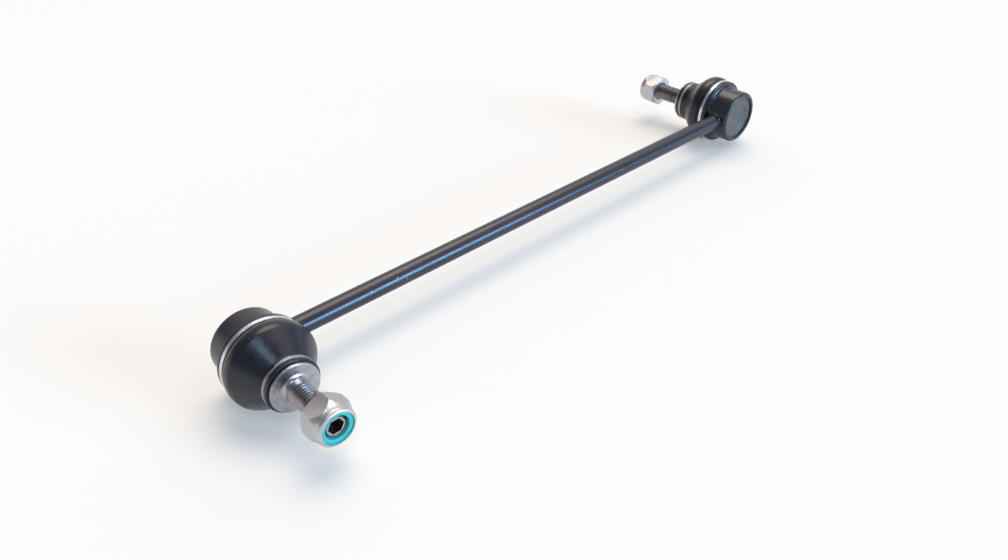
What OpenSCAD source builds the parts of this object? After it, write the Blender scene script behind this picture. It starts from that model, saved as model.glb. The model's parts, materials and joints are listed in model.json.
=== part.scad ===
// Stabilizer link: a straight rod with a ball joint at each end, studs pointing opposite ways.
// The link lies on its boots: X runs along the rod, +Z is up, and z = 0 is the surface it rests on.
// The bar end is at -X with its stud along -Y. The strut end is the same joint turned half round Z.
// Each joint is drawn along its stud: local z is the distance out from the rod's axis.

/* [Link] */
// Distance between the two stud axes, along the rod
ball_spacing = 330; // [200:1:420]
// Diameter of the rod
rod_d = 9; // [7:0.5:11]
// Length of the weld flash along the rod
weld_len = 2; // [1:0.1:4]
// Height of the weld flash above the rod
weld_rise = 0.9; // [0.5:0.1:1.5]

/* [Housing] */
// Outer diameter of the cup
housing_d = 31; // [28.5:0.5:34]
// Distance from the rod's axis to the back of the rolled rim
housing_back = 7.4; // [6:0.1:9]
// Rounding of the rolled rim's outer edge
rim_round = 1.6; // [0.5:0.1:2]
// How far the rolled rim reaches in over the closing plate
rim_lip = 1; // [0.5:0.1:2]
// Thickness of the rolled rim over the closing plate
rim_t = 1.2; // [0.8:0.1:2]
// Thickness of the closing plate
plate_t = 1.9; // [1.2:0.1:2.4]
// Wall of the cup round the closing plate
rim_wall = 1.7; // [1.4:0.1:2.2]
// Diameter of the dished middle of the closing plate
dish_d = 16; // [8:0.5:20]
// Depth of the dished middle
dish_depth = 0.5; // [0.2:0.1:0.8]
// Outer diameter of the front flange
flange_d = 37.4; // [36:0.2:39.2]
// Distance from the rod's axis to the back of the flange
flange_back = 6; // [4.8:0.1:6.4]
// Thickness of the flange
flange_t = 2.2; // [1.5:0.1:3]
// Radius of the flare from the cup to the flange
flare_round = 2.4; // [1:0.1:2.6]
// Distance from the rod's axis to the front face
housing_front = 12.4; // [11.8:0.1:13]
// Widening of the mouth from the bearing shell to the front face
mouth_flare = 1.2; // [0.8:0.1:2]

/* [Ball joint] */
// Diameter of the ball
ball_d = 18; // [16:0.5:18.5]
// Distance from the rod's axis to the centre of the ball
ball_offset = 7.2; // [7:0.1:8]
// Wall of the bearing shell at the ball's equator
shell_t = 2.2; // [1.5:0.1:2.6]
// Height of the shell's lip in front of the ball's centre
shell_lip = 3.6; // [2.5:0.1:4]
// Diameter of the grease pocket in the shell's floor
pocket_d = 6; // [3:0.5:8]

/* [Stud] */
// Diameter of the stud's neck, next to the ball
neck_d = 9.6; // [8:0.1:10]
// Diameter of the collar that the boot's lip runs on
collar_d = 16.4; // [14:0.1:17]
// Length of the collar
collar_len = 7; // [6:0.1:8]
// Length of the cone from the neck to the collar
cone_len = 4.5; // [3:0.1:6]
// Diameter of the stud's flange
stud_flange_d = 21.6; // [20:0.1:24]
// Thickness of the stud's flange
stud_flange_t = 1.6; // [1:0.1:2.2]
// Rounding of the flange's edges
stud_flange_round = 0.5; // [0.2:0.1:0.7]
// Radius of the fillet from the flange's face to the thread
root_fillet = 2.4; // [0.5:0.1:3]
// Diameter of the thread
thread_d = 10; // [8:1:10]
// Length of the thread from the flange's face to the stud's end
thread_len = 27.7; // [24:0.1:34]
// Size of the chamfer at the stud's end
end_chamfer = 1.1; // [0.4:0.1:1.3]
// Width across flats of the hexagon socket in the stud's end
socket_af = 6; // [4:0.5:6]
// Depth of the socket
socket_depth = 5; // [3:0.1:6]
// Distance from the rod's axis to the stud flange's face at the bar end
bar_reach = 33.2; // [32:0.1:37]
// Distance from the rod's axis to the stud flange's face at the strut end
strut_reach = 34.5; // [32:0.1:37]

/* [Boot] */
// Rubber of the boot's cuff between the housing and the large ring
cuff_t = 1; // [0.6:0.1:1.5]
// Height above the large ring of the boot's crest, which the link rests on
crest_rise = 0.8; // [0.6:0.1:2]
// Distance from the bead to the start of the crest's flat land
crest_lead = 2.35; // [1.5:0.05:4]
// Width of the crest's flat land
crest_len = 1.1; // [0.5:0.1:3]
// Rounding either side of the crest
crest_round = 4.8; // [3.5:0.1:5.5]
// Wall of the boot
boot_wall = 1.8; // [1.2:0.1:2.2]
// Height above the large ring of the bead in front of it
bead_rise = 0.1; // [0:0.05:0.4]
// Width of that bead
bead_len = 1.4; // [1:0.1:1.6]
// Depth of the groove between the bead and the dome
bead_groove = 0.7; // [0.3:0.1:1]
// Diameter of the boot's neck
boot_neck_d = 23.8; // [22:0.1:24.5]
// Radius of the hollow between the neck and the dome
boot_neck_round = 0.6; // [0.3:0.1:1.5]
// Straight stretch of the neck below the small ring, at the bar end
bar_neck_len = 0.2; // [0.2:0.1:3.4]
// Straight stretch of the neck below the small ring, at the strut end
strut_neck_len = 3; // [0.2:0.1:3.4]
// Diameter of the lip at the end of the neck
boot_lip_d = 23.6; // [22:0.1:25]
// Width of the lip
boot_lip_len = 1.9; // [1.2:0.1:2.4]

/* [Rings] */
// Outer diameter of the large ring
boot_ring_d = 37.6; // [34:0.1:41]
// Width of one turn of the large ring's flat wire
boot_wire_w = 0.9; // [0.7:0.05:0.95]
// Thickness of the large ring's wire
boot_wire_t = 0.9; // [0.6:0.05:1.2]
// Width of one turn of the small ring's flat wire
neck_wire_w = 0.55; // [0.4:0.05:0.6]
// Thickness of the small ring's wire
neck_wire_t = 0.95; // [0.6:0.05:1.2]
// Width of the gap between the small ring's wire ends
wire_gap = 1.2; // [0.6:0.1:2]

/* [Nut] */
// Width of the nut across flats
nut_af = 17; // [16:0.1:19]
// Height of the nut
nut_h = 12; // [11:0.1:13]
// Distance from the stud flange's face to the nut at the bar end
bar_grip = 17.4; // [12:0.1:19]
// Distance from the stud flange's face to the nut at the strut end
strut_grip = 19.2; // [12:0.1:20]
// Turn of the bar end's nut about its stud, from a corner along the rod
bar_nut_turn = 23; // [0:1:60]
// Turn of the strut end's nut about its stud, from a corner along the rod
strut_nut_turn = 31; // [0:1:60]
// Step from the nut's flats in to the washer face under it
washer_inset = 0.6; // [0.4:0.1:1]
// Step from the nut's flats in to the collar that holds the insert
nut_collar_inset = 0.2; // [0.1:0.1:0.5]
// Height of the nut's top above its full hexagon
nut_collar_h = 5.8; // [5.2:0.1:6.5]
// Wall of the collar round the insert
nut_collar_wall = 1.06; // [0.9:0.01:1.2]
// How far the rolled collar reaches in over the insert
nut_lip = 0.6; // [0.3:0.05:0.8]
// Height of the nylon insert
insert_h = 2.2; // [1.5:0.1:2.6]
// Thickness of the rolled collar over the insert
nut_roll_t = 0.6; // [0.3:0.05:0.8]

/* [Fits] */
// Clearance between the ball and its shell
ball_clearance = 0.05; // [0.02:0.01:0.1]
// Clearance of the boot on the housing, the stud and the rings
boot_clearance = 0.05; // [0.02:0.01:0.1]
// Clearance of the nut and its insert on the thread
thread_clearance = 0.05; // [0.02:0.01:0.1]
// Clearance of the insert in the nut
insert_clearance = 0.04; // [0.02:0.01:0.06]

/* [Hidden] */
$fn = 96;

// How far a cutting shape reaches past what it cuts
overcut = 1;

// Turns of wire in the large ring and in the small one
boot_turns = 2;
neck_turns = 3;

rod_r = rod_d / 2;
housing_r = housing_d / 2;
plate_r = housing_r - rim_wall;
rim_opening_r = plate_r - rim_lip;
flange_r = flange_d / 2;
ball_r = ball_d / 2;
shell_r = ball_r + shell_t;
cup_r = ball_r + ball_clearance;
thread_r = thread_d / 2;
collar_r = collar_d / 2;
stud_flange_r = stud_flange_d / 2;
// The socket's corner radius, limited by the wall that is left at the stud's end
socket_wall = 0.3;
socket_r = min(socket_af / 2 / cos(30), thread_r - end_chamfer - socket_wall);
boot_neck_r = boot_neck_d / 2;
boot_lip_r = boot_lip_d / 2;
nut_bore_r = thread_r + thread_clearance;
nut_collar_r = nut_af / 2 - nut_collar_inset;
nut_groove_r = nut_collar_r - nut_collar_wall;
insert_r = nut_groove_r - insert_clearance;
nut_opening_r = insert_r - nut_lip;

// Stations along a joint, measured out from the rod's axis
plate_back = -housing_back + rim_t;
plate_front = plate_back + plate_t;
flange_front = flange_back + flange_t;
cuff_start = flange_front + boot_clearance;
boot_ring_start = flange_front + 2 * boot_clearance;
boot_ring_end = boot_ring_start + boot_turns * boot_wire_w;
bead_start = boot_ring_end + boot_clearance;
bead_end = bead_start + bead_len;
crest_start = bead_end + crest_lead;

// Radii that one joint piece takes from another
mouth_r = sqrt(pow(shell_r, 2) - pow(shell_lip, 2));
boot_ring_r = boot_ring_d / 2;
boot_ring_inner_r = boot_ring_r - boot_wire_t;
cuff_r = boot_ring_inner_r - boot_clearance - cuff_t;
seat_r = cuff_r - boot_clearance;
bead_r = boot_ring_r + bead_rise;
crest_r = boot_ring_r + crest_rise;
axis_height = max(crest_r, flange_r);
neck_ring_len = neck_turns * neck_wire_w;
neck_ring_r = boot_lip_r;
neck_ring_inner_r = neck_ring_r - neck_wire_t;
edge_round = 0.4;
// The flare's radius, limited by how far the flange stands out from the cup
flare_r = min(flare_round, flange_r - edge_round - housing_r);
// Gap between the bead and the dome, at the groove's floor
dome_gap = 0.1;
// Angle below the crest where the dome starts, just past the bead
dome_start_angle = -asin(min(1, (crest_lead - dome_gap) / crest_round));
// Angles of the nut's chamfer under its hexagon and of the shoulder above it
nut_chamfer_angle = 30;
nut_shoulder_angle = 63;

// Points of an arc round a centre [r, z]: from and to are angles, 0 pointing outwards and 90 along the stud
function arc(centre, radius, from, to, steps = 6) = [
    for (i = [0 : steps])
        let (angle = from + (to - from) * i / steps)
        centre + radius * [cos(angle), sin(angle)]
];

// Places a joint's piece, drawn along its stud, at the bar end or at the strut end
module at_end(strut) {
    rotate([0, 0, strut ? 180 : 0])
        translate([-ball_spacing / 2, 0, axis_height])
            rotate([90, 0, 0])
                children();
}

function reach(strut) = strut ? strut_reach : bar_reach;

// Station along the stud of the nut's bearing face
function nut_base(strut) = reach(strut) + (strut ? strut_grip : bar_grip);

// Outer outline of the housing, from the rolled rim to the front face
function housing_outline() = concat(
    arc([rim_opening_r + edge_round, -housing_back + edge_round], edge_round, 180, 270),
    arc([housing_r - rim_round, -housing_back + rim_round], rim_round, 270, 360),
    arc([housing_r + flare_r, flange_back - flare_r], flare_r, 180, 90),
    arc([flange_r - edge_round, flange_back + edge_round], edge_round, 270, 360),
    arc([flange_r - edge_round, flange_front - edge_round], edge_round, 0, 90),
    [[seat_r, flange_front]],
    arc([seat_r - edge_round, housing_front - edge_round], edge_round, 0, 90)
);

// The housing's outside as one solid, which the rod and the weld are shaped to
module housing_envelope() {
    rotate_extrude()
        polygon(concat(
            [[0, -housing_back]],
            housing_outline(),
            [[0, housing_front]]
        ));
}

module housing() {
    rotate_extrude()
        polygon(concat(
            housing_outline(),
            [[mouth_r + mouth_flare, housing_front]],
            arc([0, ball_offset], shell_r, asin(shell_lip / shell_r), 0),
            [
                [shell_r, plate_front],
                [plate_r, plate_front],
                [plate_r, plate_back],
                [rim_opening_r, plate_back],
            ]
        ));
}

// Pressed disc that closes the housing, dished in its middle
module closing_plate() {
    dish_r = dish_d / 2;
    rotate_extrude()
        polygon([
            [0, plate_back + dish_depth],
            [dish_r - dish_depth, plate_back + dish_depth],
            [dish_r, plate_back],
            [plate_r, plate_back],
            [plate_r, plate_front],
            [0, plate_front],
        ]);
}

// Shell round the ball: straight outside below the equator, closing in to the lip above it
module bearing_shell() {
    pocket_r = pocket_d / 2;
    rotate_extrude()
        polygon(concat(
            [[pocket_r, plate_front], [shell_r, plate_front]],
            arc([0, ball_offset], shell_r, 0, asin(shell_lip / shell_r)),
            arc([0, ball_offset], cup_r, asin(shell_lip / cup_r), -acos(pocket_r / cup_r), 24)
        ));
}

// Forged stud: ball, neck, cone, collar, flange and thread, with a hexagon socket in its end
module ball_stud(strut) {
    face = reach(strut);
    end = face + thread_len;
    flange_underside = face - stud_flange_t;
    collar_start = flange_underside - collar_len;
    neck_r = neck_d / 2;
    difference() {
        union() {
            translate([0, 0, ball_offset])
                sphere(r = ball_r);
            rotate_extrude()
                polygon(concat(
                    [
                        [0, ball_offset],
                        [neck_r, ball_offset],
                        [neck_r, collar_start - cone_len],
                        [collar_r, collar_start],
                        [collar_r, flange_underside],
                    ],
                    arc([stud_flange_r - stud_flange_round, flange_underside + stud_flange_round],
                        stud_flange_round, 270, 360),
                    arc([stud_flange_r - stud_flange_round, face - stud_flange_round],
                        stud_flange_round, 0, 90),
                    arc([thread_r + root_fillet, face + root_fillet], root_fillet, 270, 180),
                    [
                        [thread_r, end - end_chamfer],
                        [thread_r - end_chamfer, end],
                        [0, end],
                    ]
                ));
        }
        translate([0, 0, end - socket_depth])
            cylinder(r = socket_r, h = socket_depth + overcut, $fn = 6);
    }
}

// Station along the stud where the groove for the small ring starts
function neck_groove_start(strut) =
    reach(strut) - stud_flange_t - boot_clearance * 3 - boot_lip_len - neck_ring_len;

// Station along the stud where the boot's dome runs into its neck
function boot_neck_start(strut) =
    neck_groove_start(strut) - (strut ? strut_neck_len : bar_neck_len);

// Outline of the boot's dome, moved inwards by inset: crest, straight cone and hollow, all tangent
function dome_outline(strut, inset) =
    let (
        crest_centre_r = crest_r - crest_round,
        hollow_centre_r = boot_neck_r + boot_neck_round,
        crest_end = crest_start + crest_len,
        across = hollow_centre_r - crest_centre_r,
        along = boot_neck_start(strut) - crest_end,
        slope = atan2(along, across)
            - acos((crest_round + boot_neck_round) / norm([across, along]))
    )
    concat(
        arc([crest_centre_r, crest_start], crest_round - inset, dome_start_angle, 0),
        arc([crest_centre_r, crest_end], crest_round - inset, 0, slope),
        arc([hollow_centre_r, boot_neck_start(strut)], boot_neck_round + inset, 180 + slope, 180)
    );

function reversed(points) = [for (i = [len(points) - 1 : -1 : 0]) points[i]];

// Moulded rubber boot: cuff under the large ring, bead, dome, neck under the small ring, lip
module boot(strut) {
    neck_start = boot_neck_start(strut);
    groove_start = neck_groove_start(strut);
    lip_start = groove_start + neck_ring_len + 2 * boot_clearance;
    lip_end = lip_start + boot_lip_len;
    groove_r = boot_ring_inner_r - boot_clearance;
    neck_groove_r = neck_ring_inner_r - boot_clearance;
    bore_r = collar_r + boot_clearance;
    rotate_extrude()
        polygon(concat(
            [[cuff_r, cuff_start], [groove_r, cuff_start], [groove_r, bead_start]],
            arc([bead_r - edge_round, bead_start + edge_round], edge_round, -90, 0),
            arc([bead_r - edge_round, bead_end - edge_round], edge_round, 0, 90),
            [[bead_r - bead_groove, bead_end]],
            dome_outline(strut, 0),
            [[boot_neck_r, groove_start], [neck_groove_r, groove_start], [neck_groove_r, lip_start]],
            arc([boot_lip_r - edge_round, lip_start + edge_round], edge_round, -90, 0),
            arc([boot_lip_r - edge_round, lip_end - edge_round], edge_round, 0, 90),
            [[bore_r, lip_end], [bore_r, neck_start]],
            reversed(dome_outline(strut, boot_wall)),
            [[cuff_r, housing_front]]
        ));
}

// Turns of flat wire side by side, with a fine groove between them, and a gap where the wire ends
module wire_ring(inner_r, outer_r, start, wire_w, turns, gap) {
    groove = wire_w / 8;
    difference() {
        rotate_extrude()
            polygon(concat(
                [[inner_r, start + turns * wire_w], [inner_r, start]],
                [for (turn = [0 : turns - 1])
                    each [
                        [outer_r - groove, start + turn * wire_w],
                        [outer_r, start + turn * wire_w + groove],
                        [outer_r, start + (turn + 1) * wire_w - groove],
                    ]
                ],
                [[outer_r - groove, start + turns * wire_w]]
            ));
        translate([-gap / 2, inner_r - overcut, start + (turns - 1) * wire_w])
            cube([gap, outer_r - inner_r + 2 * overcut, wire_w + overcut]);
    }
}

module boot_ring() {
    wire_ring(boot_ring_inner_r, boot_ring_r, boot_ring_start, boot_wire_w, boot_turns, wire_gap);
}

module neck_ring(strut) {
    start = neck_groove_start(strut) + boot_clearance;
    wire_ring(neck_ring_inner_r, neck_ring_r, start, neck_wire_w, neck_turns, wire_gap);
}

// Hexagon nut with a washer face below, a rounded top and a collar rolled over its insert
module lock_nut(strut) {
    corner_r = nut_af / 2 / cos(30);
    washer_face_r = nut_af / 2 - washer_inset;
    nut_hex_h = nut_h - nut_collar_h;
    blank_r = corner_r + overcut;
    under_chamfer = (blank_r - washer_face_r) * tan(nut_chamfer_angle);
    shoulder = nut_hex_h - overcut * tan(nut_shoulder_angle);
    collar_base = nut_hex_h + (corner_r - nut_collar_r) * tan(nut_shoulder_angle);
    roll_round = nut_collar_r - nut_opening_r;
    groove_top = nut_h - nut_roll_t;
    groove_floor = groove_top - insert_h - insert_clearance * 2;
    translate([0, 0, nut_base(strut)])
        intersection() {
            rotate_extrude()
                polygon(concat(
                    [
                        [nut_bore_r, 0],
                        [washer_face_r, 0],
                        [blank_r, under_chamfer],
                        [blank_r, shoulder],
                        [nut_collar_r, collar_base],
                    ],
                    arc([nut_collar_r - roll_round, nut_h - roll_round], roll_round, 0, 90),
                    [
                        [nut_opening_r, groove_top],
                        [nut_groove_r, groove_top],
                        [nut_groove_r, groove_floor],
                        [nut_bore_r, groove_floor],
                    ]
                ));
            rotate([0, 0, strut ? strut_nut_turn : bar_nut_turn])
                cylinder(r = corner_r, h = nut_h, $fn = 6);
        }
}

module nut_insert(strut) {
    top = nut_base(strut) + nut_h - nut_roll_t - insert_clearance;
    translate([0, 0, top - insert_h])
        difference() {
            cylinder(r = insert_r, h = insert_h);
            translate([0, 0, -overcut])
                cylinder(r = nut_bore_r, h = insert_h + 2 * overcut);
        }
}

module link_rod() {
    color("#2b2a2a")
        difference() {
            translate([-ball_spacing / 2, 0, axis_height])
                rotate([0, 90, 0])
                    cylinder(r = rod_r, h = ball_spacing);
            at_end(false) housing_envelope();
            at_end(true) housing_envelope();
        }
}

// Upset flash where the rod was welded on: a bead round the rod that runs out on the housing
module weld(strut) {
    flash_r = rod_r + weld_rise;
    root = sqrt(pow(housing_r, 2) - pow(flash_r, 2)) - weld_rise;
    color("#262525")
        at_end(strut)
            difference() {
                rotate([0, 90, 0])
                    rotate_extrude()
                        polygon(concat(
                            [[rod_r, root], [flash_r, root]],
                            arc([flash_r - weld_rise, housing_r + weld_len - weld_rise], weld_rise, 0, 90)
                        ));
                housing_envelope();
            }
}

module coloured_housing(strut) { color("#232324") at_end(strut) housing(); }
module coloured_plate(strut) { color("#3c3c3e") at_end(strut) closing_plate(); }
module coloured_shell(strut) { color("#e9e6dc") at_end(strut) bearing_shell(); }
module coloured_boot_ring(strut) { color("#c9ced2") at_end(strut) boot_ring(); }
module coloured_boot(strut) { color("#1f2021") at_end(strut) boot(strut); }
module coloured_neck_ring(strut) { color("#8b9094") at_end(strut) neck_ring(strut); }
module coloured_stud(strut) { color("#b9c2cc") at_end(strut) ball_stud(strut); }
module coloured_insert(strut) { color("#40bcc4") at_end(strut) nut_insert(strut); }
module coloured_nut(strut) { color("#d3d8dc") at_end(strut) lock_nut(strut); }

link_rod();
weld(false);  // bar_end_weld
weld(true);  // strut_end_weld
coloured_housing(false);  // bar_end_housing
coloured_housing(true);  // strut_end_housing
coloured_plate(false);  // bar_end_closing_plate
coloured_plate(true);  // strut_end_closing_plate
coloured_shell(false);  // bar_end_bearing_shell
coloured_shell(true);  // strut_end_bearing_shell
coloured_boot_ring(false);  // bar_end_boot_ring
coloured_boot_ring(true);  // strut_end_boot_ring
coloured_boot(false);  // bar_end_boot
coloured_boot(true);  // strut_end_boot
coloured_neck_ring(false);  // bar_end_neck_ring
coloured_neck_ring(true);  // strut_end_neck_ring
coloured_stud(false);  // bar_end_ball_stud
coloured_stud(true);  // strut_end_ball_stud
coloured_insert(false);  // bar_end_nut_insert
coloured_insert(true);  // strut_end_nut_insert
coloured_nut(false);  // bar_end_lock_nut
coloured_nut(true);  // strut_end_lock_nut
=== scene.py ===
# %% [markdown]
# # A stabilizer link, dressed for its picture
#
# The link is a steel rod with a ball joint at each end. Its solids come from the CAD model, which
# already holds every size, joint and fit. This lesson adds what a camera sees: rolled threads, wound
# wire rings, moulded rubber, zinc, black coating, and the light of a bright table.
#
# The frame is loaded first. Each CAD body is an empty that moves with its joint, and each new piece
# but the boot's halves rides one of them, so that the picture still works when the studs swing.

# %% Load the frame
import json
from math import acos, asin, atan2, cos, degrees, hypot, pi, radians, sin, tan

import bpy
from mathutils import Matrix, Vector


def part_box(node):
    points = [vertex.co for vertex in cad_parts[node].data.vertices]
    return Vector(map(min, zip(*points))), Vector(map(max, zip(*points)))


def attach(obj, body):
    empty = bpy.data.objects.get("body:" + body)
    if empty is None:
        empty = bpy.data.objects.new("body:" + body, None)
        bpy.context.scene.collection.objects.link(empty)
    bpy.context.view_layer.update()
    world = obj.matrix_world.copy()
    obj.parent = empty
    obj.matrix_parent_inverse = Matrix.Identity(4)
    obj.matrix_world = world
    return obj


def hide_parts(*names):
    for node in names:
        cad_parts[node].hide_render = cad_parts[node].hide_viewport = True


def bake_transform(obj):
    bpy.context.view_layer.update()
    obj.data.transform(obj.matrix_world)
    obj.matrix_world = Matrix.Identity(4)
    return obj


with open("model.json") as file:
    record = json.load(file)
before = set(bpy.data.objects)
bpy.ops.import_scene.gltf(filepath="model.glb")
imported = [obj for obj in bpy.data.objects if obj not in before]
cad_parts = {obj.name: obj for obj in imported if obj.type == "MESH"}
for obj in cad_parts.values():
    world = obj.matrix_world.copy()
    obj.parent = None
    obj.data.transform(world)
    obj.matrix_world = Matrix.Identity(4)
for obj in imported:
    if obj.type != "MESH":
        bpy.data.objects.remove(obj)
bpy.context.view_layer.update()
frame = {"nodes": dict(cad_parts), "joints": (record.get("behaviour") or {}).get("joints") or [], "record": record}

# %% [markdown]
# ## Measures
#
# Sizes are in millimetres, as on a drawing. What the frame can tell is read from it: each joint's ball
# centre, each stud's face, and the stations where a CAD piece starts and ends along its stud. A station
# is the distance out from the rod's axis.

# %% Read the stations from the frame
MM = 0.001
SIDES = {"bar_end": -1, "strut_end": 1}
ball = Vector(next(j["pos_m"] for j in frame["joints"] if j["name"] == "strut_end_swing")) / MM
half_spacing, ball_station, axis_height = ball
faces = {m["name"]: Vector(m["pos_m"]) / MM for m in frame["record"]["mounts"]}


def stations(end, piece):
    """Start and end of a CAD piece along its stud, and its greatest radius."""
    low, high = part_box(f"{end}_{piece}")
    along = sorted(SIDES[end] * edge.y / MM for edge in (low, high))
    return along[0], along[1], high.z / MM - axis_height


def stud_face(end):
    """Station of the stud flange's face."""
    return abs(faces[f"{end}_stud_face"].y)


for end in SIDES:
    print(end, "face", round(stud_face(end), 2), "boot", [round(s, 2) for s in stations(end, "boot")])

# %% [markdown]
# ## Camera
#
# The photograph looks down on the link from the bar end, close by and with a wide lens, so the far joint
# looks about half as big. The viewpoint, in metres, was fitted to the circles of both joints. A camera
# looks along its own -Z, so its axes are the right, the up and the reverse of the looking direction.

# %% Set the camera
VIEWPOINT = Vector((-0.2579, -0.2579, 0.2286))
LOOK = Vector((0.54496, 0.61124, -0.57394)).normalized()
CAMERA_UP = Vector((0.39963, 0.41242, 0.81866))
LENS_MM, SENSOR_MM, NEAREST = 28.85, 36, 0.01
right = LOOK.cross(CAMERA_UP).normalized()
up = right.cross(LOOK).normalized()
camera = bpy.data.objects.new("camera", bpy.data.cameras.new("camera"))
bpy.context.scene.collection.objects.link(camera)
camera.matrix_world = Matrix.Translation(VIEWPOINT) @ Matrix((right, up, -LOOK)).transposed().to_4x4()
camera.data.lens = LENS_MM
camera.data.sensor_width = SENSOR_MM
camera.data.clip_start = NEAREST
bpy.context.scene.camera = camera
print("camera at", [round(v, 3) for v in VIEWPOINT])

# %% [markdown]
# ## Working by hand
#
# Most of the pieces are round, and were turned, rolled, pressed or moulded round. By hand one draws half
# a section and spins it: a plane is merged to one point, the point is extruded along the outline, and the
# outline is spun about Z. Each piece is drawn along +Z at the origin, with +X towards the rod and +Y up.
# A tool that cuts another piece reaches past the cut by a spare millimetre, because faces that lie in one
# plane confuse a Boolean.


# %% Draw an outline
MERGE = 0.001


def arc(centre, radius, start, stop, steps=8):
    """Points of an arc round (radius, station): 0 degrees points outwards, 90 along the stud."""
    angles = [radians(start + (stop - start) * step / steps) for step in range(steps + 1)]
    return [(centre[0] + radius * cos(angle), centre[1] + radius * sin(angle)) for angle in angles]


def deselect():
    """Object mode with nothing selected, so that an operator acts on the new piece only."""
    if bpy.context.mode != "OBJECT":
        bpy.ops.object.mode_set(mode="OBJECT")
    bpy.ops.object.select_all(action="DESELECT")


def pick(piece):
    """Makes one piece the active and only selected object."""
    deselect()
    piece.select_set(True)
    bpy.context.view_layer.objects.active = piece


def draw(name, outline, closed=True):
    """Draws an outline of (radius, station) as selected edges, and stays in edit mode."""
    deselect()
    bpy.ops.mesh.primitive_plane_add(size=1)
    piece = bpy.context.active_object
    piece.name = piece.data.name = name
    bpy.ops.object.mode_set(mode="EDIT")
    bpy.ops.mesh.select_all(action="SELECT")
    bpy.ops.mesh.merge(type="CENTER")
    points = [Vector((radius, 0, station)) for radius, station in outline]
    if closed:
        points.append(points[0])
    bpy.ops.transform.translate(value=points[0])
    for here, there in zip(points, points[1:]):
        bpy.ops.mesh.extrude_vertices_move(TRANSFORM_OT_translate={"value": there - here})
    bpy.ops.mesh.select_all(action="SELECT")
    bpy.ops.mesh.remove_doubles(threshold=MERGE)
    return piece


# %% Spin it, and join or cut pieces
SPIN_STEPS, FINE_STEPS, SPARE = 96, 128, 1.0


def close_skin(merge=MERGE):
    """Merges doubles if a distance is given and turns the faces outwards, then leaves edit mode."""
    bpy.ops.mesh.select_all(action="SELECT")
    if merge:
        bpy.ops.mesh.remove_doubles(threshold=merge)
    bpy.ops.mesh.normals_make_consistent(inside=False)
    bpy.ops.object.mode_set(mode="OBJECT")


def turned(name, outline, steps=SPIN_STEPS):
    """A closed piece of revolution. An outline that starts and ends on the axis stays open there."""
    on_axis = outline[0][0] == 0 and outline[-1][0] == 0
    piece = draw(name, outline, closed=not on_axis)
    bpy.ops.mesh.spin(steps=steps, angle=2 * pi, center=(0, 0, 0), axis=(0, 0, 1))
    close_skin()
    return piece


def modify(piece, kind, **settings):
    """Adds a modifier to a piece, sets it and applies it."""
    pick(piece)
    bpy.ops.object.modifier_add(type=kind)
    modifier = piece.modifiers[-1]
    for label, value in settings.items():
        setattr(modifier, label, value)
    bpy.ops.object.modifier_apply(modifier=modifier.name)


def combine(piece, tool, operation):
    """Joins, cuts or trims a piece with another one, which is used up."""
    modify(piece, "BOOLEAN", operation=operation, object=tool, solver="EXACT")
    bpy.data.objects.remove(tool)


# %% [markdown]
# ## From the bench to the link
#
# The two ends share most of their pieces. Such a piece is modelled once and copied, with a mesh of its own
# for each end. It is then set at its station, turned about its stud, and its place is applied to the mesh,
# so that the object itself sits unturned at the origin as the CAD nodes do.


# %% Copy a piece and set it in place
def pair(piece, label):
    """The modelled piece and a copy with its own mesh, one for each end."""
    pick(piece)
    bpy.ops.object.duplicate(linked=False)
    both = dict(zip(SIDES, (piece, bpy.context.active_object)))
    for end, item in both.items():
        item.name = item.data.name = f"{end}_{label}"
    return both


def settle(piece, end, along=0.0, turn=0.0, smooth=35):
    """Puts a piece at its end of the link, along and turned about its stud, and shades it smooth."""
    side = SIDES[end]
    axes = Matrix((Vector((-side, 0, 0)), Vector((0, 0, 1)), Vector((0, side, 0)))).transposed().to_4x4()
    joint = Matrix.Translation(Vector((side * half_spacing, 0, axis_height)) * MM)
    on_stud = Matrix.Translation((0, 0, along)) @ Matrix.Rotation(radians(turn), 4, "Z")
    piece.matrix_world = joint @ axes @ Matrix.Scale(MM, 4) @ on_stud
    pick(piece)
    bpy.ops.object.transform_apply(location=True, rotation=True, scale=True)
    bpy.ops.object.shade_smooth_by_angle(angle=radians(smooth))
    print(piece.name, len(piece.data.polygons), "faces")


def stand_for(piece, end, node, body=None):
    """Lets a piece ride a body and stand for a CAD node, which it hides."""
    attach(piece, body or f"{end}_{node}")
    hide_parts(f"{end}_{node}")


# %% [markdown]
# ## Housings
#
# The housing is cold-formed from one slug: a cup with a flange at its mouth, whose back rim is rolled in
# over the closing plate. It is a piece of revolution, so it is spun from its section. The section is drawn
# again here, because finer arcs give a cleaner highlight than the solid's own facets.

# %% Turn the housings
CUP_R, RIM_ROUND, RIM_LIP = 15.5, 1.6, 1.0
FLANGE_BACK, FLANGE_T, FLARE, EDGE = 6.0, 2.2, 2.4, 0.4
SEAT_R, SHELL_R, SHELL_LIP, MOUTH_FLARE = 16.8, 11.2, 3.6, 1.2


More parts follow.
